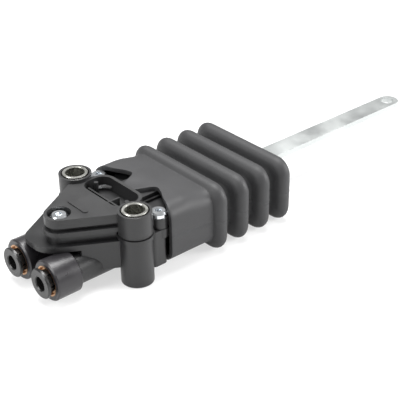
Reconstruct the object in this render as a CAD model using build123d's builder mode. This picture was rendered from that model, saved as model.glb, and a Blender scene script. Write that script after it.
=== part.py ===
import os
from math import cos, radians, sin, sqrt, tan

from build123d import *

# Cab leveling valve, in millimetres.
# The origin is midway between the two mounting holes, on the face that meets the bracket.
# X runs from the tube fittings to the lever's eye, Y across the mounting holes, Z up.

# Mounting bosses and their steel sleeves
hole_spacing = 42.0
sleeve_height = 34.5
sleeve_bore = 8.4
sleeve_wall = 1.35
sleeve_proud = 0.5
sleeve_edge = 0.3
boss_wall = 1.65
boss_draft = 0.35
boss_relief_width = 0.6
boss_relief_depth = 2.5
boss_foot = 0.3
collar_wall = 0.6
collar_height = 1.5
collar_drop = 0.3

# Heights of the housing's and cover's layers
split_height = 23.6
band_height = 2.7
shelf_thickness = 2.5
floor_drop = 1.3
skirt_height = 1.0
flange_thickness = 2.1
groove_height = 1.7
plate_thickness = 4.1

# Plan outlines
nose_half_angle = 30.0
nose_wall = 1.3
flange_overhang = 0.8
band_inset = 0.5
groove_inset = 1.3
shelf_near_overhang = 2.1
shelf_far_overhang = 9.1
shelf_front = -34.4
shelf_near_radius = 11.0
shelf_far_radius = 7.0
front_wall = -20.5
rear_wall = 13.6
pillar_depth = 19.0
pillar_length = 8.0
pillar_width = 12.0
pillar_corner = 2.0
pillar_bottom = 4.9
pillar_drop = 1.8
pillar_collar_height = 4.1
pillar_collar_radius = 4.4

# Pocket in the cover's top
pocket_length = 27.0
pocket_width = 13.3
pocket_depth = 6.7
pocket_radius = 5.0
pocket_centre = 3.65
pocket_rim = 1.5
rib_thickness = 0.8
rib_drop = 1.6
long_rib_offset = -3.95
cross_rib_place = -4.3
cross_rib_length = 7.5
post_radius = 0.95
post_drop = 0.3
post_spacing = 21.6
pad_length = 13.0
pad_width = 2.2
pad_height = 0.4
pad_place = -14.3
pad_shift = -1.2

# Cover screws
screw_radius = 2.0
screw_head_radius = 3.7
screw_head_height = 2.4
screw_head_edge = 0.8
screw_length = 12.0
screw_recess_radius = 5.0
nose_screw_place = -22.8
nose_screw_sink = 3.0
nose_post_radius = 3.6
nose_post_length = 5.1
rear_screw_place = 12.1
screw_column_radius = 4.1
screw_web = 3.0
drive_radius = 1.5
drive_depth = 1.3

# Snout that the bellows grips, and the cover's tail over it
snout_end = 29.0
snout_inset = 4.0
snout_floor = 3.8
snout_roof = 2.6
snout_lip = 1.0
snout_lip_length = 1.8
tail_end = 23.5
tail_width = 17.0
tail_height = 5.6
tail_ledge = 1.2

# Lever, its crank shaft and the bush
pivot_place = 5.0
lever_width = 10.3
lever_thickness = 2.7
lever_drop = 8.1
lever_end = 188.1
eye_place = 181.9
eye_radius = 3.2
lever_hub_radius = 7.0
swing_limit = 20.0
shaft_radius = 4.0
shaft_flange_radius = 7.2
shaft_flange_thickness = 1.8
collar_ring_thickness = 1.8
collar_ring_radius = 6.5
crank_throw = 5.0
crank_pin_radius = 1.6
crank_pin_overlap = 1.2
bush_wall = 1.2
bush_length = 4.2
bush_flange = 0.8
bush_flange_radius = 6.8
bearing_boss_radius = 7.5
chamber_gap = 0.6
flange_gap = 0.3

# Plunger valve that the crank pin drives
valve_cover_gap = 0.2
plunger_radius = 3.0
plunger_front = -11.5
plunger_rear = 9.4
waist_radius = 2.0
waist_front = -8.9
waist_rear = -3.9
valve_sleeve_wall = 1.5
valve_sleeve_front = -13.5
valve_sleeve_rear = -3.0
valve_seal_radius = 0.45
valve_barrel_wall = 1.8
valve_port_radius = 0.9
inlet_port_place = -10.0
outlet_port_place = -5.4
trough_end = 12.0

# Push-in tube fittings
fitting_spacing = 20.9
fitting_shift = 2.2
fitting_drop = 0.9
fitting_radius = 9.0
fitting_front = -36.5
fitting_back = -24.4
fitting_edge = 0.6
spigot_radius = 4.8
spigot_end = -14.4
tube_radius = 3.05
tube_seat_end = -19.0
passage_radius = 1.8
chamber_radius = 5.35
socket_wall = 2.1
ring_radius = 6.7
ring_wall = 0.6
ring_lip = 1.1
ring_depth = 1.6
collet_front = -39.9
collet_radius = 6.6
collet_shank_radius = 4.9
collet_flange = 1.2
collet_length = 6.4
collet_bore = 3.12
collet_slot = 0.8
grip_place = -31.4
grip_thickness = 0.4
grip_bore = 3.3
grip_tooth_depth = 1.2
grip_tooth_count = 8
tube_seal_place = -29.3
socket_seal_place = -16.9
socket_seal_radius = 0.9

# Gasket between housing and cover
gasket_width = 1.2
gasket_depth = 0.8
gasket_inset = 1.0

# Bellows
bellows_wall = 2.0
mouth_place = 14.2
neck_overhang = 6.0
neck_corner = 6.0
neck_sag = 2.4
lip_gap = 0.3
tail_gap = 0.1
mouth_end = 24.0
neck_end = 33.0
fold_count = 4
fold_start = 40.9
fold_pitch = 12.6
crest_radius = 3.6
valley_radius = 2.5
fold_overhang = 3.2
fold_rise = 2.3
fold_bottom = 0.0
fold_closing = 0.3
fold_depth = 7.0
fold_corner = 12.0
least_corner = 4.0
corner_steps = 4
grip_web = 2.4
end_snout_length = 5.0
end_snout_wall = 2.2
tongue_tip = 12.0
tongue_half_width = 3.7
scallop_place = 22.4
scallop_overhang = 0.7
shoulder_place = 16.4
shoulder_inset = 0.5
mouth_cut_rise = 1.4

# Clearances
seat_gap = 0.05
running_gap = 0.05
pin_gap = 0.1
free_gap = 0.4
seal_gap = 0.03

sleeve_radius = sleeve_bore / 2 + sleeve_wall
boss_radius = sleeve_radius + boss_wall
collar_radius = boss_radius + collar_wall
boss_top = sleeve_height - sleeve_proud
boss_place = hole_spacing / 2
near_far = (-boss_place, boss_place)
shelf_height = split_height - band_height
pillar_top = split_height - pillar_drop
nose_post_bottom = shelf_height - nose_post_length
lever_height = split_height - lever_drop
chamber_floor = lever_height - shaft_flange_thickness - flange_gap
valve_height = chamber_floor - valve_cover_gap - plunger_radius
crank_pin_end = valve_height - crank_pin_overlap
fitting_height = valve_height - fitting_drop
floor_height = fitting_height - floor_drop
snout_bottom = chamber_floor - snout_floor
snout_width = hole_spacing - snout_inset
flange_bottom = split_height + skirt_height
flange_top = flange_bottom + flange_thickness
plate_bottom = flange_top + groove_height
plate_top = plate_bottom + plate_thickness
pocket_floor = plate_top - pocket_depth
nose_radius = screw_recess_radius + nose_wall
nose_seat = plate_top - nose_screw_sink
screw_places = ((nose_screw_place, 0), (rear_screw_place, -boss_place), (rear_screw_place, boss_place))
screw_seats = (nose_seat, flange_top, flange_top)
snout_top = split_height + snout_roof
fitting_places = (fitting_shift - fitting_spacing / 2, fitting_shift + fitting_spacing / 2)
socket_radius = spigot_radius + seat_gap + socket_wall
lever_top = lever_height + lever_thickness
valve_place = -crank_throw
valve_sleeve_radius = plunger_radius + running_gap + valve_sleeve_wall
valve_bore_radius = valve_sleeve_radius + seat_gap
bush_radius = shaft_radius + running_gap + bush_wall
bush_bottom = lever_top + collar_ring_thickness + 0.2
bush_top = bush_bottom + bush_length
mouth_cut_height = split_height + mouth_cut_rise
mouth_top = split_height + tail_height + tail_gap + bellows_wall
neck_top = snout_top + snout_lip + lip_gap + bellows_wall
neck_bottom = snout_bottom - snout_lip - neck_sag - bellows_wall
neck_half_width = boss_place + neck_overhang
fold_half_width = neck_half_width + fold_overhang
fold_top = neck_top + fold_rise
scallop_half_width = tail_width / 2 + scallop_overhang
shoulder_half_width = boss_place - shoulder_inset

os.makedirs("parts", exist_ok=True)


def nose_outline(extra):
    """A wedge whose sides touch a circle round the nose screw, grown by a margin."""
    half_angle = radians(nose_half_angle)
    reach = (nose_radius + extra) / sin(half_angle) - nose_screw_place
    with BuildSketch() as outline:
        with BuildLine():
            Polyline((0, -reach * tan(half_angle)), (-reach, 0), (0, reach * tan(half_angle)), close=True)
        make_face()
        fillet(outline.vertices().sort_by(Axis.X)[0], nose_radius + extra)
    return outline.sketch


def cover_outline(extra):
    """The cover's plan, its nose and the surround of its pocket, grown by a margin."""
    margin = 2 * (pocket_rim + extra)
    with BuildSketch() as outline:
        add(nose_outline(extra))
        with Locations((pocket_centre, 0)):
            RectangleRounded(pocket_width + margin, pocket_length + margin, pocket_radius + pocket_rim)
    return outline.sketch


def shelf_outline():
    """The housing's lopsided shelf, narrow beside one boss and wide round the other."""
    slope = tan(radians(nose_half_angle))
    edge = nose_radius / sin(radians(nose_half_angle)) - nose_screw_place
    near = edge * slope + shelf_near_overhang / cos(radians(nose_half_angle))
    far = edge * slope + shelf_far_overhang / cos(radians(nose_half_angle))
    side_radius = (far - boss_place) * cos(radians(nose_half_angle))
    near_corner = (shelf_front, -near - shelf_front * slope)
    far_corner = (shelf_front, far + shelf_front * slope)
    side_point = (
        -side_radius * sin(radians(nose_half_angle)),
        boss_place + side_radius * cos(radians(nose_half_angle)),
    )
    with BuildSketch() as outline:
        with BuildLine():
            Polyline((0, -near), near_corner, far_corner, side_point, (0, boss_place), close=True)
        make_face()
        fillet(outline.vertices().sort_by_distance(near_corner)[0], shelf_near_radius)
        fillet(outline.vertices().sort_by_distance(far_corner)[0], shelf_far_radius)
        with Locations((0, boss_place)):
            Circle(side_radius)
    return outline.sketch


def swing_outline(gap, end):
    """The room that the lever sweeps, from its hub out to a given place along X."""
    spread = (end - pivot_place) * tan(radians(swing_limit))
    half = (lever_width / 2) / cos(radians(swing_limit)) + gap
    with BuildSketch() as outline:
        with BuildLine():
            Polyline(
                (pivot_place, -half),
                (pivot_place, half),
                (end, half + spread),
                (end, -half - spread),
                close=True,
            )
        make_face()
        with Locations((pivot_place, 0)):
            Circle(shaft_flange_radius + gap)
    return outline.sketch


def along_x(y, z):
    """The plane of a turned profile: across is X and up is the radius."""
    return Plane(origin=(0, y, z), x_dir=(1, 0, 0), z_dir=(0, -1, 0))


def turning_axis(y, z):
    return Axis((0, y, z), (1, 0, 0))


def stepped_rod(steps):
    """Half the section of a turned rod, from its start and its (end, radius) steps."""
    start, *ends = steps
    corners = [(start, 0)]
    for end, radius in ends:
        corners += [(corners[-1][0], radius), (end, radius)]
    corners.append((corners[-1][0], 0))
    with BuildSketch() as section:
        with BuildLine():
            Polyline(*corners, close=True)
        make_face()
    return section.sketch


def snout_section(extra):
    """The snout's outline across X, grown by a margin."""
    with BuildSketch() as section:
        with Locations((0, (snout_bottom + snout_top) / 2)):
            Rectangle(snout_width + 2 * extra, snout_top - snout_bottom + 2 * extra)
    return section.sketch


def across_x(x):
    """A plane across X: across is Y and up is Z."""
    return Plane(origin=(x, 0, 0), x_dir=(0, 1, 0), z_dir=(1, 0, 0))


# Lower housing: shelf, body, bosses, snout, sockets and the valve's barrel
with BuildPart() as valve_housing:
    with BuildSketch(Plane.XY.offset(shelf_height - shelf_thickness)):
        add(shelf_outline())
    extrude(amount=shelf_thickness)
    with BuildSketch(Plane.XY.offset(floor_height)):
        add(shelf_outline())
        with Locations((front_wall, 0)):
            Rectangle(
                hole_spacing, 2 * hole_spacing, align=(Align.MAX, Align.CENTER), mode=Mode.SUBTRACT
            )
        Rectangle(rear_wall, hole_spacing, align=(Align.MIN, Align.CENTER))
    extrude(amount=shelf_height - floor_height)
    with BuildSketch(Plane.XY.offset(shelf_height)):
        add(cover_outline(-band_inset))
    extrude(amount=split_height - shelf_height)
    with BuildSketch(across_x(0)):
        add(snout_section(0))
    extrude(amount=snout_end)
    with BuildSketch(across_x(snout_end - snout_lip_length)):
        add(snout_section(snout_lip))
    extrude(amount=snout_lip_length)
    with BuildSketch(Plane.XY.offset(split_height)):
        Rectangle(2 * snout_end, 2 * hole_spacing)
    extrude(amount=snout_roof + snout_lip, mode=Mode.SUBTRACT)
    with BuildSketch(Plane.XY.offset(pillar_bottom)):
        with Locations((rear_wall, -pillar_depth), (rear_wall, pillar_depth)):
            RectangleRounded(
                pillar_length, pillar_width, pillar_corner, align=(Align.MAX, Align.CENTER)
            )
    extrude(amount=pillar_top - pillar_bottom)
    with BuildSketch(Plane.XY.offset(pillar_top - pillar_collar_height)):
        with Locations(*screw_places[1:]):
            Circle(pillar_collar_radius)
    extrude(amount=pillar_collar_height)
    with BuildSketch(Plane.XY.offset(split_height - collar_drop)):
        with Locations(*[(0, y) for y in near_far]):
            Circle(boss_radius)
    extrude(amount=boss_foot + collar_drop - split_height, taper=boss_draft)
    with BuildSketch(Plane.XY.offset(split_height - collar_drop - collar_height)):
        with Locations(*[(0, y) for y in near_far]):
            Circle(collar_radius)
    extrude(amount=collar_height)
    with BuildSketch(Plane.XY.offset(nose_post_bottom)):
        with Locations(screw_places[0]):
            Circle(nose_post_radius)
    extrude(amount=shelf_height - nose_post_bottom)
    for y in fitting_places:
        with BuildSketch(along_x(y, fitting_height)):
            add(stepped_rod((fitting_back, (0, socket_radius))))
        revolve(axis=turning_axis(y, fitting_height))
    with BuildSketch(along_x(valve_place, valve_height)):
        add(
            stepped_rod(
                (
                    valve_sleeve_front - valve_barrel_wall,
                    (trough_end + valve_barrel_wall, valve_bore_radius + valve_barrel_wall),
                )
            )
        )
    revolve(axis=turning_axis(valve_place, valve_height))

    with BuildSketch(along_x(valve_place, valve_height)):
        add(stepped_rod((valve_sleeve_front - seat_gap, (trough_end, valve_bore_radius))))
    revolve(axis=turning_axis(valve_place, valve_height), mode=Mode.SUBTRACT)
    for y in fitting_places:
        with BuildSketch(along_x(y, fitting_height)):
            add(stepped_rod((shelf_front - free_gap, (fitting_back + seat_gap, fitting_radius + seat_gap))))
        revolve(axis=turning_axis(y, fitting_height), mode=Mode.SUBTRACT)
        port = inlet_port_place if y < fitting_shift else outlet_port_place
        with BuildSketch(along_x(y, fitting_height)):
            add(
                stepped_rod(
                    (
                        fitting_back - seat_gap,
                        (spigot_end + seat_gap, spigot_radius + seat_gap),
                        (port + valve_port_radius, passage_radius),
                    )
                )
            )
        revolve(axis=turning_axis(y, fitting_height), mode=Mode.SUBTRACT)
        with BuildSketch(Plane(origin=(0, y, 0), x_dir=(1, 0, 0), z_dir=(0, 1, 0))):
            with Locations((port, -valve_height)):
                Circle(valve_port_radius)
        extrude(amount=valve_place - y, mode=Mode.SUBTRACT)
    with BuildSketch(Plane.XY.offset(chamber_floor)):
        add(swing_outline(chamber_gap, snout_end))
    extrude(amount=split_height - chamber_floor, mode=Mode.SUBTRACT)
    with BuildSketch(Plane.XY.offset(chamber_floor)):
        with Locations((valve_sleeve_rear, valve_place)):
            Rectangle(
                trough_end - valve_sleeve_rear, 2 * valve_bore_radius, align=(Align.MIN, Align.CENTER)
            )
    extrude(amount=valve_height - chamber_floor, mode=Mode.SUBTRACT)
    with BuildSketch(Plane.XY.offset(split_height)):
        add(swing_outline(chamber_gap + gasket_inset + gasket_width, snout_end - snout_lip_length))
        add(swing_outline(chamber_gap + gasket_inset, snout_end), mode=Mode.SUBTRACT)
    extrude(amount=-gasket_depth, mode=Mode.SUBTRACT)
    with BuildSketch():
        with Locations(*[(0, y) for y in near_far]):
            Circle(sleeve_radius + seat_gap)
    extrude(amount=split_height, mode=Mode.SUBTRACT)
    with BuildSketch(Plane.XY.offset(pillar_top)):
        with Locations(*screw_places[1:]):
            Circle(screw_column_radius + seat_gap)
    extrude(amount=split_height - pillar_top, mode=Mode.SUBTRACT)
    for place, seat in zip(screw_places, screw_seats):
        with BuildSketch(Plane.XY.offset(seat - screw_length - free_gap)):
            with Locations(place):
                Circle(screw_radius + seat_gap)
        extrude(amount=screw_length, mode=Mode.SUBTRACT)
valve_housing.part.label = "valve_housing"
export_step(valve_housing.part, "parts/valve_housing.step")

# Cover: skirt, flange, groove and plate, with its pocket, tail, bosses and bearing
with BuildPart() as valve_cover:
    for bottom, top, extra in (
        (split_height, flange_bottom, -band_inset),
        (flange_bottom, flange_top, flange_overhang),
        (flange_top, plate_bottom, -groove_inset),
        (plate_bottom, plate_top, 0),
    ):
        with BuildSketch(Plane.XY.offset(bottom)):
            add(cover_outline(extra))
        extrude(amount=top - bottom)
    with BuildSketch(Plane.XY.offset(split_height)):
        with Locations(*[(0, y) for y in near_far]):
            Circle(boss_radius)
    extrude(amount=boss_top - split_height)
    with BuildSketch(across_x(0)):
        add(snout_section(0))
    extrude(amount=snout_end)
    with BuildSketch(across_x(snout_end - snout_lip_length)):
        add(snout_section(snout_lip))
    extrude(amount=snout_lip_length)
    with BuildSketch(Plane.XY.offset(split_height)):
        Rectangle(2 * snout_end, 2 * hole_spacing)
    extrude(amount=-split_height, mode=Mode.SUBTRACT)
    with BuildSketch(Plane.XY.offset(split_height)):
        Rectangle(tail_end, tail_width, align=(Align.MIN, Align.CENTER))
    extrude(amount=tail_height)
    with BuildSketch(Plane.XY.offset(split_height)):
        Rectangle(
            tail_end + tail_ledge, tail_width + 2 * tail_ledge, align=(Align.MIN, Align.CENTER)
        )
    extrude(amount=snout_roof + tail_ledge)
    with BuildSketch(Plane.XY.offset(pillar_top)):
        with Locations(*screw_places[1:]):
            Circle(screw_column_radius)
    extrude(amount=flange_top - pillar_top)
    with BuildSketch(Plane.XY.offset(split_height)):
        with Locations(*[(0, y) for y in near_far]):
            Rectangle(rear_screw_place, screw_web, align=(Align.MIN, Align.CENTER))
    extrude(amount=flange_top - split_height)
    with BuildSketch(Plane.XY.offset(bush_bottom + bush_flange + seat_gap)):
        with Locations((pivot_place, 0)):
            Circle(bearing_boss_radius)
    extrude(amount=split_height - bush_bottom)
    with BuildSketch(Plane.XY.offset(plate_top)):
        with Locations((pad_place, pad_shift)):
            SlotOverall(pad_length, pad_width, rotation=90)
    extrude(amount=pad_height)

    with BuildSketch(Plane.XY.offset(plate_top)):
        with Locations((pocket_centre, 0)):
            RectangleRounded(pocket_width, pocket_length, pocket_radius)
    extrude(amount=-pocket_depth, mode=Mode.SUBTRACT)
    pocket_front = pocket_centre - pocket_width / 2
    with BuildSketch(Plane.XY.offset(pocket_floor)):
        with Locations((pocket_centre + long_rib_offset, 0)):
            Rectangle(rib_thickness, pocket_length - pocket_radius)
        with Locations((pocket_front, cross_rib_place)):
            Rectangle(cross_rib_length, rib_thickness, align=(Align.MIN, Align.CENTER))
    extrude(amount=pocket_depth - rib_drop)
    with BuildSketch(Plane.XY.offset(pocket_floor)):
        with Locations((pocket_centre, -post_spacing / 2), (pocket_centre, post_spacing / 2)):
            Circle(post_radius)
    extrude(amount=pocket_depth - post_drop)
    with BuildSketch(Plane.XY.offset(split_height)):
        with Locations(*[(0, y) for y in near_far]):
            Circle(sleeve_radius + seat_gap)
    extrude(amount=boss_top - split_height, mode=Mode.SUBTRACT)
    with BuildSketch(Plane.XY.offset(boss_top)):
        with Locations(*[(0, y) for y in near_far]):
            Circle(sleeve_radius + boss_relief_width)
    extrude(amount=-boss_relief_depth, mode=Mode.SUBTRACT)
    with BuildSketch(Plane.XY.offset(plate_top)):
        with Locations(screw_places[0]):
            Circle(screw_recess_radius)
    extrude(amount=-nose_screw_sink, mode=Mode.SUBTRACT)
    with BuildSketch(Plane.XY.offset(pillar_top)):
        with Locations(*screw_places):
            Circle(screw_radius + free_gap / 2)
    extrude(amount=nose_seat - pillar_top, mode=Mode.SUBTRACT)
    with BuildSketch(Plane.XY.offset(bush_bottom + bush_flange)):
        with Locations((pivot_place, 0)):
            Circle(bush_radius + seal_gap)
    extrude(amount=bush_length - bush_flange + free_gap / 2, mode=Mode.SUBTRACT)
valve_cover.part.label = "valve_cover"
export_step(valve_cover.part, "parts/valve_cover.step")

# Gasket in its groove, open where the lever leaves the snout
with BuildPart() as cover_gasket:
    with BuildSketch(Plane.XY.offset(split_height - gasket_depth)):
        add(
            swing_outline(
                chamber_gap + gasket_inset + gasket_width - seal_gap,
                snout_end - snout_lip_length - seal_gap,
            )
        )
        add(swing_outline(chamber_gap + gasket_inset + seal_gap, snout_end), mode=Mode.SUBTRACT)
    extrude(amount=gasket_depth)
cover_gasket.part.label = "cover_gasket"
export_step(cover_gasket.part, "parts/cover_gasket.step")

# Steel sleeves that take the mounting screws' clamping force
for name, y in (("near_mounting_sleeve", -boss_place), ("far_mounting_sleeve", boss_place)):
    with BuildPart() as mounting_sleeve:
        with BuildSketch():
            with Locations((0, y)):
                Circle(sleeve_radius)
                Circle(sleeve_bore / 2, mode=Mode.SUBTRACT)
        extrude(amount=sleeve_height)
        chamfer(mounting_sleeve.edges().filter_by(GeomType.CIRCLE), sleeve_edge)
    mounting_sleeve.part.label = name
    export_step(mounting_sleeve.part, f"parts/{name}.step")

# Three pan-head screws that hold the cover down
with BuildPart() as cover_screws:
    for place, seat in zip(screw_places, screw_seats):
        with BuildSketch(Plane.XY.offset(seat)):
            with Locations(place):
                Circle(screw_head_radius)
        extrude(amount=screw_head_height)
        head = cover_screws.edges().filter_by(GeomType.CIRCLE).filter_by_position(
            Axis.Z, seat + screw_head_height, seat + screw_head_height
        )
        chamfer(head.sort_by_distance((*place, seat + screw_head_height))[0], screw_head_edge)
        with BuildSketch(Plane.XY.offset(seat)):
            with Locations(place):
                Circle(screw_radius)
        extrude(amount=-screw_length)
        with BuildSketch(Plane.XY.offset(seat + screw_head_height)):
            with Locations(place):
                RegularPolygon(drive_radius, 6)
        extrude(amount=-drive_depth, mode=Mode.SUBTRACT)
cover_screws.part.label = "cover_screws"
export_step(cover_screws.part, "parts/cover_screws.step")

# Push-in fittings: body, retaining ring, collet, grip ring and two seals for each port
seal_section = (chamber_radius - tube_radius - 3 * seal_gap) / 2
seal_centre = (chamber_radius + tube_radius + seal_gap) / 2
chamber_end = tube_seal_place + seal_section + seal_gap
for port, y in zip(("inlet", "outlet"), fitting_places):
    place = along_x(y, fitting_height)
    axis = turning_axis(y, fitting_height)

    with BuildPart() as fitting_body:
        with BuildSketch(place):
            add(stepped_rod((fitting_front, (fitting_back, fitting_radius), (spigot_end, spigot_radius))))
        revolve(axis=axis)
        rims = fitting_body.edges().filter_by(GeomType.CIRCLE)
        chamfer(rims.filter_by(lambda rim: rim.radius > fitting_radius - seat_gap), fitting_edge)
        with BuildSketch(place):
            add(
                stepped_rod(
                    (
                        fitting_front,
                        (fitting_front + ring_depth, ring_radius + seal_gap),
                        (chamber_end, chamber_radius),
                        (tube_seat_end, tube_radius),
                        (spigot_end, passage_radius),
                    )
                )
            )
        revolve(axis=axis, mode=Mode.SUBTRACT)
        with BuildSketch(place):
            with Locations((socket_seal_place, spigot_radius)):
                Rectangle(
                    2 * (socket_seal_radius + seal_gap),
                    2 * socket_seal_radius - seat_gap + 2 * seal_gap,
                    align=(Align.CENTER, Align.MAX),
                )
        revolve(axis=axis, mode=Mode.SUBTRACT)
    fitting_body.part.label = f"{port}_fitting_body"
    export_step(fitting_body.part, f"parts/{port}_fitting_body.step")

    with BuildPart() as retaining_ring:
        with BuildSketch(place):
            with Locations((fitting_front, ring_radius)):
                Rectangle(ring_depth - seal_gap, ring_wall, align=(Align.MIN, Align.MAX))
            with Locations((fitting_front + ring_lip, ring_radius)):
                Rectangle(
                    ring_depth - ring_lip - seal_gap,
                    ring_radius - collet_shank_radius - running_gap,
                    align=(Align.MIN, Align.MAX),
                )
        revolve(axis=axis)
    retaining_ring.part.label = f"{port}_retaining_ring"
    export_step(retaining_ring.part, f"parts/{port}_retaining_ring.step")

    with BuildPart() as collet:
        with BuildSketch(place):
            add(
                stepped_rod(
                    (
                        collet_front,
                        (collet_front + collet_flange, collet_radius),
                        (collet_front + collet_length, collet_shank_radius),
                    )
                )
            )
        revolve(axis=axis)
        with BuildSketch(place):
            add(stepped_rod((collet_front, (collet_front + collet_length, collet_bore))))
        revolve(axis=axis, mode=Mode.SUBTRACT)
        front = collet.edges().filter_by(GeomType.CIRCLE).group_by(Axis.X)[0]
        chamfer(front, collet_flange / 3)
        for turn in (0, 60, 120):
            slot_plane = Plane(origin=(0, y, fitting_height), x_dir=(1, 0, 0), z_dir=(0, -1, 0))
            with BuildSketch(slot_plane.rotated((turn, 0, 0))):
                with Locations((collet_front + collet_length, 0)):
                    Rectangle(
                        collet_length - 2 * collet_flange, collet_slot, align=(Align.MAX, Align.CENTER)
                    )
            extrude(amount=collet_radius, both=True, mode=Mode.SUBTRACT)
    collet.part.label = f"{port}_collet"
    export_step(collet.part, f"parts/{port}_collet.step")

    with BuildPart() as grip_ring:
        with BuildSketch(Plane(origin=(grip_place, y, fitting_height), x_dir=(0, 1, 0), z_dir=(1, 0, 0))):
            Circle(chamber_radius - seal_gap)
            Circle(grip_bore, mode=Mode.SUBTRACT)
            with PolarLocations(grip_bore, grip_tooth_count):
                Rectangle(2 * grip_tooth_depth, grip_thickness, mode=Mode.SUBTRACT)
        extrude(amount=grip_thickness)
    grip_ring.part.label = f"{port}_grip_ring"
    export_step(grip_ring.part, f"parts/{port}_grip_ring.step")

    with BuildPart() as tube_seal:
        with BuildSketch(place):
            with Locations((tube_seal_place, seal_centre)):
                RegularPolygon(seal_section, 8)
        revolve(axis=axis)
    tube_seal.part.label = f"{port}_tube_seal"
    export_step(tube_seal.part, f"parts/{port}_tube_seal.step")

    with BuildPart() as socket_seal:
        with BuildSketch(place):
            with Locations((socket_seal_place, spigot_radius + seat_gap - socket_seal_radius - seal_gap)):
                RegularPolygon(socket_seal_radius, 8)
        revolve(axis=axis)
    socket_seal.part.label = f"{port}_socket_seal"
    export_step(socket_seal.part, f"parts/{port}_socket_seal.step")

# Valve sleeve with its ports, and the seals that part them
valve_axis = turning_axis(valve_place, valve_height)
valve_plane = along_x(valve_place, valve_height)
valve_seal_places = (
    (valve_sleeve_front + inlet_port_place - valve_port_radius) / 2,
    (inlet_port_place + outlet_port_place) / 2,
    (valve_sleeve_rear + outlet_port_place + valve_port_radius) / 2,
)
with BuildPart() as valve_sleeve:
    with BuildSketch(valve_plane):
        add(stepped_rod((valve_sleeve_front, (valve_sleeve_rear, valve_sleeve_radius))))
    revolve(axis=valve_axis)
    with BuildSketch(valve_plane):
        add(stepped_rod((valve_sleeve_front, (valve_sleeve_rear, plunger_radius + running_gap))))
    revolve(axis=valve_axis, mode=Mode.SUBTRACT)
    with BuildSketch(valve_plane):
        with Locations(*[(x, valve_sleeve_radius) for x in valve_seal_places]):
            Rectangle(
                2 * (valve_seal_radius + seal_gap),
                2 * valve_seal_radius - seat_gap + 2 * seal_gap,
                align=(Align.CENTER, Align.MAX),
            )
    revolve(axis=valve_axis, mode=Mode.SUBTRACT)
    for normal in ((0, 1, 0), (0, 0, 1)):
        with BuildSketch(Plane(origin=(0, valve_place, valve_height), x_dir=(1, 0, 0), z_dir=normal)):
            with Locations((inlet_port_place, 0), (outlet_port_place, 0)):
                Circle(valve_port_radius)
        extrude(amount=valve_sleeve_radius, both=True, mode=Mode.SUBTRACT)
valve_sleeve.part.label = "valve_sleeve"
export_step(valve_sleeve.part, "parts/valve_sleeve.step")

with BuildPart() as valve_seals:
    with BuildSketch(valve_plane):
        with Locations(*[(x, valve_bore_radius - valve_seal_radius - seal_gap) for x in valve_seal_places]):
            RegularPolygon(valve_seal_radius, 6)
    revolve(axis=valve_axis)
valve_seals.part.label = "valve_seals"
export_step(valve_seals.part, "parts/valve_seals.step")

# Plunger with the slot that the crank pin moves it by
with BuildPart() as valve_plunger:
    with BuildSketch(valve_plane):
        add(
            stepped_rod(
                (
                    plunger_front,
                    (waist_front, plunger_radius),
                    (waist_rear, waist_radius),
                    (plunger_rear, plunger_radius),
                )
            )
        )
    revolve(axis=valve_axis)
    ends = valve_plunger.edges().filter_by(GeomType.CIRCLE)
    chamfer(ends.group_by(Axis.X)[0] + ends.group_by(Axis.X)[-1], running_gap * 6)
    with BuildSketch(Plane.XY.offset(crank_pin_end - pin_gap)):
        with Locations((pivot_place, valve_place)):
            Rectangle(2 * (crank_pin_radius + pin_gap), 2 * plunger_radius)
    extrude(amount=2 * plunger_radius, mode=Mode.SUBTRACT)
valve_plunger.part.label = "valve_plunger"
export_step(valve_plunger.part, "parts/valve_plunger.step")

# Crank shaft, the bush it turns in, and the lever with its clamping collar
with BuildPart() as crank_shaft:
    with BuildSketch(Plane.XY.offset(lever_height - shaft_flange_thickness)):
        with Locations((pivot_place, 0)):
            Circle(shaft_flange_radius)
    extrude(amount=shaft_flange_thickness)
    with BuildSketch(Plane.XY.offset(crank_pin_end)):
        with Locations((pivot_place, valve_place)):
            Circle(crank_pin_radius)
    extrude(amount=lever_height - shaft_flange_thickness - crank_pin_end)
    with BuildSketch(Plane.XY.offset(lever_height)):
        with Locations((pivot_place, 0)):
            Circle(shaft_radius)
    extrude(amount=bush_top - lever_height)
    chamfer(crank_shaft.edges().filter_by(GeomType.CIRCLE).group_by(Axis.Z)[-1], sleeve_edge)
crank_shaft.part.label = "crank_shaft"
export_step(crank_shaft.part, "parts/crank_shaft.step")

with BuildPart() as shaft_bush:
    with BuildSketch(Plane.XY.offset(bush_bottom)):
        with Locations((pivot_place, 0)):
            Circle(bush_flange_radius)
    extrude(amount=bush_flange)
    with BuildSketch(Plane.XY.offset(bush_bottom)):
        with Locations((pivot_place, 0)):
            Circle(bush_radius)
    extrude(amount=bush_length)
    with BuildSketch(Plane.XY.offset(bush_bottom)):
        with Locations((pivot_place, 0)):
            Circle(shaft_radius + running_gap)
    extrude(amount=bush_length, mode=Mode.SUBTRACT)
shaft_bush.part.label = "shaft_bush"
export_step(shaft_bush.part, "parts/shaft_bush.step")

with BuildPart() as lever_arm:
    with BuildSketch(Plane.XY.offset(lever_height)):
        with Locations((pivot_place, 0)):
            Circle(lever_hub_radius)
        with Locations((pivot_place, 0)):
            Rectangle(
                lever_end - lever_width / 2 - pivot_place, lever_width, align=(Align.MIN, Align.CENTER)
            )
        with Locations((lever_end - lever_width / 2, 0)):
            Circle(lever_width / 2)
        with Locations((eye_place, 0)):
            Circle(eye_radius, mode=Mode.SUBTRACT)
        with Locations((pivot_place, 0)):
            Circle(shaft_radius + seal_gap, mode=Mode.SUBTRACT)
    extrude(amount=lever_thickness)
lever_arm.part.label = "lever_arm"
export_step(lever_arm.part, "parts/lever_arm.step")

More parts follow.
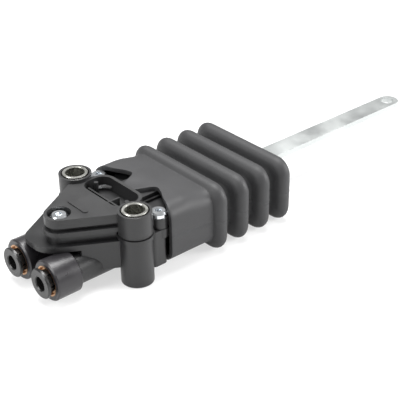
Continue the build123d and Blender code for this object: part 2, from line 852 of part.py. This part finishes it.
with BuildPart() as lever_collar:
    with BuildSketch(Plane.XY.offset(lever_top)):
        with Locations((pivot_place, 0)):
            Circle(collar_ring_radius)
            Circle(shaft_radius + seal_gap, mode=Mode.SUBTRACT)
    extrude(amount=collar_ring_thickness)
    chamfer(lever_collar.edges().filter_by(GeomType.CIRCLE).group_by(Axis.Z)[-1][-1], sleeve_edge)
lever_collar.part.label = "lever_collar"
export_step(lever_collar.part, "parts/lever_collar.step")


def neck_stations(wall):
    """The neck's sections from its mouth: place, half width, top, bottom and corner."""
    side = (neck_half_width - wall, neck_bottom + wall, neck_corner - wall / 2)
    return [
        (place, side[0], top - wall, side[1], side[2])
        for place, top in ((tongue_tip, mouth_top), (mouth_end, mouth_top), (neck_end, neck_top))
    ]


def fold_shape(wall):
    """One fold's round crest and the round valley after it: shifts along X, drops below the top."""
    crest, valley = crest_radius - wall, valley_radius + wall
    steps = (-1, -0.75, 0, 0.75, 1)
    over = [(s * crest, crest * (1 - sqrt(1 - s**2))) for s in steps]
    under = [(fold_pitch / 2 + s * valley, fold_depth - valley * (1 - sqrt(1 - s**2))) for s in steps]
    return over + under


def fold_stations(number, wall):
    """One fold's sections: half width, top, bottom and corner at each place along X."""
    stations = []
    for shift, drop in fold_shape(wall):
        inset = wall + drop
        section = [
            fold_start + number * fold_pitch + shift,
            fold_half_width - inset,
            fold_top - number * fold_closing - inset,
            fold_bottom + inset,
            max(fold_corner - inset, least_corner),
        ]
        if number == 0 and shift < 0:
            section[1] = max(section[1], neck_half_width - wall)
            section[2] = max(section[2], neck_top - wall)
            section[3] = min(section[3], neck_bottom + wall)
        stations.append(tuple(section))
    return stations


def bellows_section(half_width, top, bottom, corner):
    """An upright rectangle whose corners turn in a few straight steps."""
    turns = [radians(90 * i / corner_steps) for i in range(corner_steps + 1)]
    quarter = [(half_width - corner * (1 - cos(a)), corner * (1 - sin(a))) for a in turns]
    upper = [(y, top - z) for y, z in quarter]
    lower = [(y, bottom + z) for y, z in reversed(quarter)]
    right = lower + upper
    with BuildSketch() as section:
        with BuildLine():
            Polyline(*right, *[(-y, z) for y, z in reversed(right)], close=True)
        make_face()
    return section.sketch


lever_middle = lever_height + lever_thickness / 2
last_fold_end = fold_start + (fold_count - 1) * fold_pitch + crest_radius
snout_half = (lever_width / 2 + end_snout_wall, lever_thickness / 2 + end_snout_wall)
end_stations = [
    (
        last_fold_end + place,
        snout_half[0] + spread,
        lever_middle + snout_half[1] + spread,
        lever_middle - snout_half[1] - spread,
        (snout_half[1] + spread) / 2,
    )
    for place, spread in ((0.8, 3.0), (2.0, 0.6), (end_snout_length, 0.0))
]

# Bellows: neck over the snout, four folds, and the short snout that grips the lever
with BuildPart() as bellows:
    outer = neck_stations(0) + [s for i in range(fold_count) for s in fold_stations(i, 0)]
    for place, *section in outer[:-5] + end_stations:
        with BuildSketch(across_x(place)):
            add(bellows_section(*section))
    loft(ruled=True)
    inner = neck_stations(bellows_wall)
    inner += [s for i in range(fold_count) for s in fold_stations(i, bellows_wall)]
    for place, *section in inner[:-5]:
        with BuildSketch(across_x(place)):
            add(bellows_section(*section))
    loft(ruled=True, mode=Mode.SUBTRACT)
    with BuildSketch(across_x(snout_end - snout_lip_length - grip_web - seat_gap)):
        add(bellows_section(*neck_stations(bellows_wall / 2)[2][1:]))
        add(snout_section(seat_gap), mode=Mode.SUBTRACT)
    extrude(amount=grip_web)
    with BuildSketch(across_x(mouth_place)):
        Rectangle(2 * hole_spacing, 2 * mouth_cut_height)
    extrude(amount=-mouth_place, mode=Mode.SUBTRACT)
    edge = [
        (tongue_tip, 0),
        (tongue_tip + 1.3, tongue_half_width),
        (scallop_place - 0.6, scallop_half_width - 2),
        (scallop_place, scallop_half_width),
        (shoulder_place, shoulder_half_width),
        (mouth_place, neck_half_width),
    ]
    with BuildSketch(Plane.XY.offset(mouth_cut_height - 1)):
        with BuildLine():
            Spline(*[(x, -y) for x, y in reversed(edge[1:])], *edge)
            Polyline(
                (mouth_place, neck_half_width),
                (0, neck_half_width),
                (0, -neck_half_width),
                (mouth_place, -neck_half_width),
            )
        make_face()
    extrude(amount=mouth_top, mode=Mode.SUBTRACT)
    with BuildSketch(across_x(last_fold_end - 2 * crest_radius)):
        with Locations((0, lever_middle)):
            Rectangle(lever_width + 2 * seat_gap, lever_thickness + 2 * seat_gap)
    extrude(amount=2 * crest_radius + end_snout_length, mode=Mode.SUBTRACT)
bellows.part.label = "bellows"
export_step(bellows.part, "parts/bellows.step")
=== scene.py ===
from math import cos, pi, radians, sin

import bmesh
import bpy
from mathutils import Matrix, Vector


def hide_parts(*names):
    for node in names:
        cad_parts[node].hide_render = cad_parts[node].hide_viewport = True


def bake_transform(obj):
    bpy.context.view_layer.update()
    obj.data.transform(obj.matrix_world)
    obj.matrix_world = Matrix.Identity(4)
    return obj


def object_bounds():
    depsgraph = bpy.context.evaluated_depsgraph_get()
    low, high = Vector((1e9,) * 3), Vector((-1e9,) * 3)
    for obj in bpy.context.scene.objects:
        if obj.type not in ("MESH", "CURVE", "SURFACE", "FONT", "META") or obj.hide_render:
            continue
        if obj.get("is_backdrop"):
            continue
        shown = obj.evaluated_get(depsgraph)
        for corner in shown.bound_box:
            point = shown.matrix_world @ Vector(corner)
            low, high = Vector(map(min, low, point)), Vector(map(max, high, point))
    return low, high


# Cab leveling valve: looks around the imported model, in metres.
# X runs from the tube fittings to the lever's eye, Y across the mounting holes, Z up.

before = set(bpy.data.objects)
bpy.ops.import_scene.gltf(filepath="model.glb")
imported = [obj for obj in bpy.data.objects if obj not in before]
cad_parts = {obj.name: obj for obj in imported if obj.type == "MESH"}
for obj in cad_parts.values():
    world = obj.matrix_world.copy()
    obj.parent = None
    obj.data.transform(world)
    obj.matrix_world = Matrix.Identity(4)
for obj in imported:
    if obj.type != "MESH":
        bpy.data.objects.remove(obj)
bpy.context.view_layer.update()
mm = 0.001
print("frame loaded:", len(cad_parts), "nodes")


def deselectAll():
    if bpy.context.object and bpy.context.object.mode != "OBJECT":
        bpy.ops.object.mode_set(mode="OBJECT")
    bpy.ops.object.select_all(action="DESELECT")


def makeActive(piece):
    deselectAll()
    piece.select_set(True)
    bpy.context.view_layer.objects.active = piece


def edit(piece, selectMode="VERT"):
    makeActive(piece)
    bpy.ops.object.mode_set(mode="EDIT")
    bpy.ops.mesh.select_mode(type=selectMode)


def selectVerts(piece, test):  # in edit mode: the vertices whose place passes the test
    mesh = bmesh.from_edit_mesh(piece.data)
    for vert in mesh.verts:
        vert.select = test(vert.co)
    mesh.select_flush(True)
    mesh.select_flush(False)
    bmesh.update_edit_mesh(piece.data)


def selectAll():
    bpy.ops.mesh.select_all(action="SELECT")


def named(piece, name):
    piece.name = name
    piece.data.name = name
    return piece


def settle(piece):  # leaves the object at the origin, unturned and unscaled
    makeActive(piece)
    bpy.ops.object.transform_apply(location=True, rotation=True, scale=True)


def addModifier(piece, kind, **values):
    makeActive(piece)
    bpy.ops.object.modifier_add(type=kind)
    modifier = piece.modifiers[-1]
    for key, value in values.items():
        setattr(modifier, key, value)
    bpy.ops.object.modifier_apply(modifier=modifier.name)


def smooth(piece, angle=35):
    makeActive(piece)
    bpy.ops.object.shade_smooth_by_angle(angle=radians(angle))


# Shared effects

def addSockets(group, inputs, outputs):
    for name, kind, value in inputs:
        socket = group.interface.new_socket(name=name, in_out="INPUT", socket_type=kind)
        if value is not None:
            socket.default_value = value
    for name, kind in outputs:
        group.interface.new_socket(name=name, in_out="OUTPUT", socket_type=kind)


def newNode(tree, kind, place, **values):
    node = tree.nodes.new(kind)
    node.location = place
    for key, value in values.items():
        if hasattr(node, key):
            setattr(node, key, value)
        else:
            node.inputs[key.replace("_", " ")].default_value = value
    return node


def grainGroup():  # fine moulded grain, and broad mottling of shade and gloss
    group = bpy.data.node_groups.new("mouldedGrain", "ShaderNodeTree")
    addSockets(
        group,
        [
            ("Vector", "NodeSocketVector", None),
            ("Grain Scale", "NodeSocketFloat", 2600.0),
            ("Mottle Scale", "NodeSocketFloat", 90.0),
        ],
        [("Height", "NodeSocketFloat"), ("Mottle", "NodeSocketFloat")],
    )
    start = newNode(group, "NodeGroupInput", (-800, 0))
    end = newNode(group, "NodeGroupOutput", (400, 0))
    fine = newNode(group, "ShaderNodeTexNoise", (-500, 200), Detail=3.0, Roughness=0.6)
    coarse = newNode(group, "ShaderNodeTexNoise", (-500, -200), Detail=4.0, Roughness=0.55)
    link = group.links.new
    for noise, scale in ((fine, "Grain Scale"), (coarse, "Mottle Scale")):
        link(start.outputs["Vector"], noise.inputs["Vector"])
        link(start.outputs[scale], noise.inputs["Scale"])
    link(fine.outputs["Fac"], end.inputs["Height"])
    link(coarse.outputs["Fac"], end.inputs["Mottle"])
    return group


def streakGroup():  # long fine scratches, and patches where plating is duller
    group = bpy.data.node_groups.new("platingStreaks", "ShaderNodeTree")
    addSockets(
        group,
        [
            ("Vector", "NodeSocketVector", None),
            ("Streak Scale", "NodeSocketFloat", 1500.0),
            ("Patch Scale", "NodeSocketFloat", 120.0),
        ],
        [("Height", "NodeSocketFloat"), ("Patch", "NodeSocketFloat")],
    )
    start = newNode(group, "NodeGroupInput", (-1000, 0))
    end = newNode(group, "NodeGroupOutput", (400, 0))
    stretch = newNode(group, "ShaderNodeVectorMath", (-750, 200), operation="MULTIPLY")
    stretch.inputs[1].default_value = (0.03, 1.0, 1.0)
    streaks = newNode(group, "ShaderNodeTexNoise", (-500, 200), Detail=2.0)
    patches = newNode(group, "ShaderNodeTexNoise", (-500, -200), Detail=5.0, Roughness=0.6)
    link = group.links.new
    link(start.outputs["Vector"], stretch.inputs[0])
    link(stretch.outputs[0], streaks.inputs["Vector"])
    link(start.outputs["Streak Scale"], streaks.inputs["Scale"])
    link(start.outputs["Vector"], patches.inputs["Vector"])
    link(start.outputs["Patch Scale"], patches.inputs["Scale"])
    link(streaks.outputs["Fac"], end.inputs["Height"])
    link(patches.outputs["Fac"], end.inputs["Patch"])
    return group


mouldedGrain = grainGroup()
platingStreaks = streakGroup()


def surfaceMaterial(name, group, look):
    material = bpy.data.materials.new(name)
    material.use_nodes = True
    tree = material.node_tree
    shader = tree.nodes["Principled BSDF"]
    shader.inputs["Metallic"].default_value = look.get("metallic", 0.0)
    shader.inputs["IOR"].default_value = look.get("ior", 1.5)
    shader.inputs["Specular IOR Level"].default_value = look.get("specular", 0.5)
    coords = newNode(tree, "ShaderNodeTexCoord", (-1200, 0))
    effect = newNode(tree, "ShaderNodeGroup", (-900, 0), node_tree=group)
    for socket, value in look["pattern"].items():
        effect.inputs[socket].default_value = value
    broad = effect.outputs[1]
    shade = newNode(tree, "ShaderNodeMix", (-500, 200), data_type="RGBA")
    shade.inputs["A"].default_value = (*look["dark"], 1)
    shade.inputs["B"].default_value = (*look["light"], 1)
    gloss = newNode(tree, "ShaderNodeMapRange", (-500, -100))
    gloss.inputs["From Min"].default_value = 0.3
    gloss.inputs["From Max"].default_value = 0.7
    gloss.inputs["To Min"].default_value = look["roughness"][0]
    gloss.inputs["To Max"].default_value = look["roughness"][1]
    bump = newNode(tree, "ShaderNodeBump", (-300, -350))
    bump.inputs["Strength"].default_value = look["bump"]
    bump.inputs["Distance"].default_value = 0.0001
    link = tree.links.new
    link(coords.outputs["Object"], effect.inputs["Vector"])
    link(broad, shade.inputs["Factor"])
    link(broad, gloss.inputs["Value"])
    link(effect.outputs["Height"], bump.inputs["Height"])
    link(shade.outputs["Result"], shader.inputs["Base Color"])
    link(gloss.outputs["Result"], shader.inputs["Roughness"])
    link(bump.outputs["Normal"], shader.inputs["Normal"])
    return material


finishes = {
    "housingPlastic": (mouldedGrain, dict(
        dark=(0.009, 0.009, 0.0095), light=(0.015, 0.015, 0.0155), roughness=(0.3, 0.42), bump=0.12,
        pattern={"Grain Scale": 2600.0, "Mottle Scale": 90.0})),
    "coverPlastic": (mouldedGrain, dict(
        dark=(0.012, 0.012, 0.0125), light=(0.02, 0.02, 0.0205), roughness=(0.34, 0.48), bump=0.2,
        pattern={"Grain Scale": 2200.0, "Mottle Scale": 70.0})),
    "fittingPlastic": (mouldedGrain, dict(
        dark=(0.013, 0.012, 0.0135), light=(0.02, 0.0185, 0.021), roughness=(0.26, 0.38), bump=0.1,
        pattern={"Grain Scale": 3000.0, "Mottle Scale": 120.0})),
    "colletPlastic": (mouldedGrain, dict(
        dark=(0.008, 0.008, 0.008), light=(0.013, 0.013, 0.013), roughness=(0.25, 0.35), bump=0.06,
        pattern={"Grain Scale": 3000.0, "Mottle Scale": 150.0})),
    "bellowsRubber": (mouldedGrain, dict(
        dark=(0.026, 0.026, 0.027), light=(0.038, 0.038, 0.0395), roughness=(0.5, 0.64), bump=0.25,
        specular=0.35, pattern={"Grain Scale": 1800.0, "Mottle Scale": 60.0})),
    "sealRubber": (mouldedGrain, dict(
        dark=(0.008, 0.008, 0.008), light=(0.014, 0.014, 0.014), roughness=(0.45, 0.6), bump=0.1,
        pattern={"Grain Scale": 3500.0, "Mottle Scale": 200.0})),
    "bushPlastic": (mouldedGrain, dict(
        dark=(0.5, 0.46, 0.36), light=(0.6, 0.56, 0.46), roughness=(0.35, 0.5), bump=0.1,
        pattern={"Grain Scale": 3000.0, "Mottle Scale": 200.0})),
    "sleeveZinc": (platingStreaks, dict(
        dark=(0.5, 0.5, 0.46), light=(0.72, 0.72, 0.68), roughness=(0.2, 0.34), bump=0.1, metallic=1.0,
        pattern={"Streak Scale": 1800.0, "Patch Scale": 260.0})),
    "screwZinc": (platingStreaks, dict(
        dark=(0.66, 0.69, 0.72), light=(0.84, 0.86, 0.88), roughness=(0.14, 0.26), bump=0.1, metallic=1.0,
        pattern={"Streak Scale": 1800.0, "Patch Scale": 300.0})),
    "leverZinc": (platingStreaks, dict(
        dark=(0.52, 0.54, 0.54), light=(0.62, 0.64, 0.63), roughness=(0.36, 0.5), bump=0.18, metallic=1.0,
        pattern={"Streak Scale": 900.0, "Patch Scale": 60.0})),
    "turnedSteel": (platingStreaks, dict(
        dark=(0.4, 0.4, 0.4), light=(0.55, 0.55, 0.55), roughness=(0.2, 0.35), bump=0.1, metallic=1.0,
        pattern={"Streak Scale": 1800.0, "Patch Scale": 260.0})),
    "turnedBrass": (platingStreaks, dict(
        dark=(0.42, 0.23, 0.12), light=(0.62, 0.37, 0.2), roughness=(0.22, 0.36), bump=0.1, metallic=1.0,
        pattern={"Streak Scale": 1800.0, "Patch Scale": 260.0})),
}
materials = {name: surfaceMaterial(name, group, look) for name, (group, look) in finishes.items()}

nodeFinishes = {
    "valve_housing": "housingPlastic", "valve_cover": "coverPlastic", "cover_gasket": "sealRubber",
    "near_mounting_sleeve": "sleeveZinc", "far_mounting_sleeve": "sleeveZinc", "cover_screws": "screwZinc",
    "inlet_fitting_body": "fittingPlastic", "outlet_fitting_body": "fittingPlastic",
    "inlet_retaining_ring": "turnedBrass", "outlet_retaining_ring": "turnedBrass",
    "inlet_grip_ring": "turnedSteel", "outlet_grip_ring": "turnedSteel",
    "inlet_tube_seal": "sealRubber", "outlet_tube_seal": "sealRubber",
    "inlet_socket_seal": "sealRubber", "outlet_socket_seal": "sealRubber",
    "inlet_collet": "colletPlastic", "outlet_collet": "colletPlastic",
    "shaft_bush": "bushPlastic", "valve_sleeve": "turnedBrass", "valve_seals": "sealRubber",
    "valve_plunger": "turnedSteel", "crank_shaft": "turnedSteel", "lever_arm": "leverZinc",
    "lever_collar": "turnedSteel", "bellows": "bellowsRubber",
}
for nodeName, finish in nodeFinishes.items():
    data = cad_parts[nodeName].data
    data.materials.clear()
    data.materials.append(materials[finish])
print("materials placed")

# Bellows: neck over the snout, four folds and the end that grips the lever

bellowsSizes = dict(
    wall=2.0, cornerTop=10.5, cornerBottom=9.5, cornerCuts=9, topCuts=56, sideCuts=11,
    mouth=14.2, mouthEnd=24.0, neckHalfWidth=27.0, neckBottom=4.2, mouthTop=31.3, neckTop=29.5, neckEnd=34.0,
    foldStart=40.9, foldPitch=12.6, foldHalfWidth=30.0, foldTop=31.7, foldBottom=0.1, foldClosing=0.3,
    foldDepth=7.0, foldCount=4, crestRadius=3.6, valleyRadius=2.5,
    snoutHalfWidth=7.35, snoutHalfHeight=3.55, leverMiddle=16.85, snoutSpread=((0.8, 3.0), (2.0, 0.6), (5.0, 0.0)),
    partingHeight=0.14, partingReach=0.45,
    dimpleDepth=0.45, dimplePlace=(16.6, 0.0), dimpleReach=(2.6, 3.4), rimRound=0.35,
)
# the mouth's edge seen from above: distance from the middle, and place along X
mouthEdge = [(0, 11.5), (2.4, 11.9), (4.0, 13.4), (5.6, 17.0), (7.0, 20.0), (8.2, 21.3), (9.5, 21.5),
             (13.0, 20.2), (17.0, 17.9), (20.5, 16.4), (24.0, 15.0), (27.0, 14.2)]


def mouthPlace(across):
    for (y0, x0), (y1, x1) in zip(mouthEdge, mouthEdge[1:]):
        if across <= y1:
            return x0 + (x1 - x0) * (across - y0) / (y1 - y0)
    return mouthEdge[-1][1]


def bellowsRings(s):  # each ring: place, half width, top, bottom
    rings = [(x, s["neckHalfWidth"], s["mouthTop"], s["neckBottom"])
             for x in (s["mouth"], 15.6, 17.0, 18.4, 19.8, 21.2, 22.6, s["mouthEnd"])]
    rings.append((27.0, s["neckHalfWidth"], s["mouthTop"] - 0.35, s["neckBottom"]))
    rings.append((30.5, s["neckHalfWidth"], s["mouthTop"] - 1.1, s["neckBottom"]))
    rings.append((s["neckEnd"], s["neckHalfWidth"], s["neckTop"], s["neckBottom"]))
    turns = [radians(a) for a in range(-90, 91, 15)]
    crest, valley = s["crestRadius"], s["valleyRadius"]
    over = [(crest * sin(a), crest * (1 - cos(a))) for a in turns]
    under = [(s["foldPitch"] / 2 + valley * sin(a), s["foldDepth"] - valley * (1 - cos(a))) for a in turns]
    for fold in range(s["foldCount"]):
        isLast = fold == s["foldCount"] - 1
        for shift, drop in over if isLast else over + under:
            ring = [s["foldStart"] + fold * s["foldPitch"] + shift, s["foldHalfWidth"] - drop,
                    s["foldTop"] - fold * s["foldClosing"] - drop, s["foldBottom"] + drop]
            if fold == 0 and shift < 0:
                ring[1] = max(ring[1], s["neckHalfWidth"])
                ring[2] = max(ring[2], s["neckTop"])
                ring[3] = min(ring[3], s["neckBottom"])
            rings.append(tuple(ring))
    end = rings[-1][0]
    for shift, spread in s["snoutSpread"]:
        rings.append((end + shift, s["snoutHalfWidth"] + spread,
                      s["leverMiddle"] + s["snoutHalfHeight"] + spread,
                      s["leverMiddle"] - s["snoutHalfHeight"] - spread))
    return rings


def makeBellows(s):
    rings = bellowsRings(s)
    x, halfWidth, top, bottom = rings[0]
    middle, halfHeight = (top + bottom) / 2, (top - bottom) / 2
    deselectAll()
    bpy.ops.mesh.primitive_plane_add(size=2, location=(x * mm, 0, middle * mm), rotation=(0, pi / 2, 0))
    piece = named(bpy.context.object, "foldedBellows")
    piece.scale = (halfHeight * mm, halfWidth * mm, 1)
    settle(piece)
    edit(piece)
    centre = middle * mm
    for upper, radius in ((True, s["cornerTop"]), (False, s["cornerBottom"])):
        selectVerts(piece, lambda p: (p.z > centre) == upper and abs(p.y) > (halfWidth - 0.01) * mm
                    and abs(abs(p.z - centre) - halfHeight * mm) < 0.01 * mm)
        bpy.ops.mesh.bevel(offset=radius * 0.62 * mm, segments=s["cornerCuts"], affect="VERTICES")
    bpy.ops.mesh.select_mode(type="FACE")
    selectAll()
    bpy.ops.mesh.delete(type="ONLY_FACE")
    bpy.ops.mesh.select_mode(type="EDGE")
    for flat, cuts in (("level", s["topCuts"]), ("upright", s["sideCuts"])):
        mesh = bmesh.from_edit_mesh(piece.data)
        for edge in mesh.edges:
            a, b = (v.co for v in edge.verts)
            long = edge.calc_length() > 5 * mm
            edge.select = long and (abs(a.z - b.z) < 0.01 * mm) == (flat == "level")
        bmesh.update_edit_mesh(piece.data)
        bpy.ops.mesh.subdivide(number_cuts=cuts)
    mesh = bmesh.from_edit_mesh(piece.data)
    sides = [v for v in mesh.verts if abs(v.co.y) > (halfWidth - 0.01) * mm]
    for side in (-1, 1):  # a raised parting line halfway up each side
        rows = sorted((v for v in sides if v.co.y * side > 0), key=lambda v: abs(v.co.z - centre))
        rows[0].co.y += side * s["partingHeight"] * mm
        for neighbour in rows[1:3]:
            away = 1 if neighbour.co.z > centre else -1
            neighbour.co.z = centre + away * s["partingReach"] * mm
    bmesh.update_edit_mesh(piece.data)
    selectAll()
    for nextRing in rings[1:]:
        nextMiddle = (nextRing[2] + nextRing[3]) / 2
        bpy.ops.mesh.extrude_edges_move(
            TRANSFORM_OT_translate={"value": ((nextRing[0] - x) * mm, 0, (nextMiddle - middle) * mm)})
        newHeight = (nextRing[2] - nextRing[3]) / 2
        bpy.ops.transform.resize(
            value=(1, nextRing[1] / halfWidth, newHeight / halfHeight),
            center_override=(nextRing[0] * mm, 0, nextMiddle * mm))
        x, halfWidth, middle, halfHeight = nextRing[0], nextRing[1], nextMiddle, newHeight
    selectAll()
    bpy.ops.mesh.normals_make_consistent(inside=False)
    mesh = bmesh.from_edit_mesh(piece.data)
    for vert in mesh.verts:
        p = vert.co / mm
        if p.x > s["mouthEnd"]:
            continue
        high = min(max((p.z - 23.5) / 5.0, 0), 1)
        edge = s["mouth"] + (mouthPlace(abs(p.y)) - s["mouth"]) * high
        share = (s["mouthEnd"] - p.x) / (s["mouthEnd"] - s["mouth"])
        p.x = s["mouthEnd"] - share * (s["mouthEnd"] - edge)
        if p.z > 30:
            away = ((p.x - s["dimplePlace"][0]) / s["dimpleReach"][0]) ** 2 + (p.y / s["dimpleReach"][1]) ** 2
            p.z -= s["dimpleDepth"] / (1 + away ** 2)
        vert.co = p * mm
    bmesh.update_edit_mesh(piece.data)
    bpy.ops.object.mode_set(mode="OBJECT")
    addModifier(piece, "SOLIDIFY", thickness=s["wall"] * mm, offset=-1, use_even_offset=False)
    addModifier(piece, "BEVEL", width=s["rimRound"] * mm, segments=2, limit_method="ANGLE",
                angle_limit=radians(60))
    smooth(piece, 50)
    piece.data.materials.append(materials["bellowsRubber"])
    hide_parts("bellows")
    return piece


bellows = makeBellows(bellowsSizes)
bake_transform(bellows)
print("bellows made")

# Floor, light and camera

studio = dict(
    floorSize=6.0, floorShade=0.9, floorGlow=0.62, worldLight=0.42,
    camera=(-0.21705, -0.31637, 0.25337), yaw=49.54, pitch=30.47, roll=-0.75, lens=94.75,
)


def makeStudio(s):
    deselectAll()
    bpy.ops.mesh.primitive_plane_add(size=s["floorSize"], location=(0, 0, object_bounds()[0][2] - 0.0002))
    floor = named(bpy.context.object, "studioFloor")
    settle(floor)
    paint = bpy.data.materials.new("studioFloorPaint")
    paint.use_nodes = True
    tree = paint.node_tree
    shader = tree.nodes["Principled BSDF"]
    shader.inputs["Base Color"].default_value = (s["floorShade"],) * 3 + (1,)
    shader.inputs["Roughness"].default_value = 0.9
    shader.inputs["Specular IOR Level"].default_value = 0.1
    glow = newNode(tree, "ShaderNodeEmission", (0, -300), Strength=1.0)
    seen = newNode(tree, "ShaderNodeLightPath", (-700, 300))
    share = newNode(tree, "ShaderNodeMath", (-300, 300), operation="MULTIPLY")
    either = newNode(tree, "ShaderNodeMath", (-500, 300), operation="ADD", use_clamp=True)
    share.inputs[1].default_value = s["floorGlow"]
    mix = newNode(tree, "ShaderNodeMixShader", (300, 0))
    link = tree.links.new
    link(seen.outputs["Is Camera Ray"], either.inputs[0])
    link(seen.outputs["Is Glossy Ray"], either.inputs[1])
    link(either.outputs[0], share.inputs[0])
    link(share.outputs[0], mix.inputs["Fac"])
    link(shader.outputs[0], mix.inputs[1])
    link(glow.outputs[0], mix.inputs[2])
    link(mix.outputs[0], tree.nodes["Material Output"].inputs["Surface"])
    floor.data.materials.append(paint)
    floor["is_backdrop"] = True

    world = bpy.data.worlds.new("studioWorld")
    bpy.context.scene.world = world
    world.use_nodes = True
    tree = world.node_tree
    light = tree.nodes["Background"]
    light.inputs["Color"].default_value = (1, 1, 1, 1)
    seen = newNode(tree, "ShaderNodeLightPath", (-700, 300))
    either = newNode(tree, "ShaderNodeMath", (-500, 300), operation="ADD", use_clamp=True)
    level = newNode(tree, "ShaderNodeMapRange", (-300, 300))
    level.inputs["To Min"].default_value = s["worldLight"]
    level.inputs["To Max"].default_value = 1.0
    link = tree.links.new
    link(seen.outputs["Is Camera Ray"], either.inputs[0])
    link(seen.outputs["Is Transmission Ray"], either.inputs[1])
    link(either.outputs[0], level.inputs["Value"])
    link(level.outputs["Result"], light.inputs["Strength"])

    for name, place, size, power in (
        ("topSoftbox", (0.1, 0.15, 0.75), 0.5, 12.0),
        ("rightSoftbox", (0.6, -0.5, 0.3), 0.3, 8.0),
        ("leftSoftbox", (-0.65, 0.1, 0.45), 0.4, 4.0),
    ):
        deselectAll()
        bpy.ops.object.light_add(type="AREA", location=place)
        lamp = bpy.context.object
        lamp.name = name
        lamp.data.size = size
        lamp.data.energy = power
        toPart = Vector((0.02, 0, 0.02)) - Vector(place)
        lamp.rotation_euler = toPart.to_track_quat("-Z", "Y").to_euler()

    deselectAll()
    bpy.ops.object.camera_add(location=s["camera"])
    camera = bpy.context.object
    turn = (Matrix.Rotation(radians(s["yaw"] - 90), 3, "Z") @ Matrix.Rotation(radians(90 - s["pitch"]), 3, "X")
            @ Matrix.Rotation(radians(s["roll"]), 3, "Z"))
    camera.rotation_euler = turn.to_euler()
    camera.data.sensor_width = 36
    camera.data.lens = s["lens"]
    bpy.context.scene.camera = camera
    bpy.context.scene.view_settings.view_transform = "Standard"


makeStudio(studio)
print("studio set")
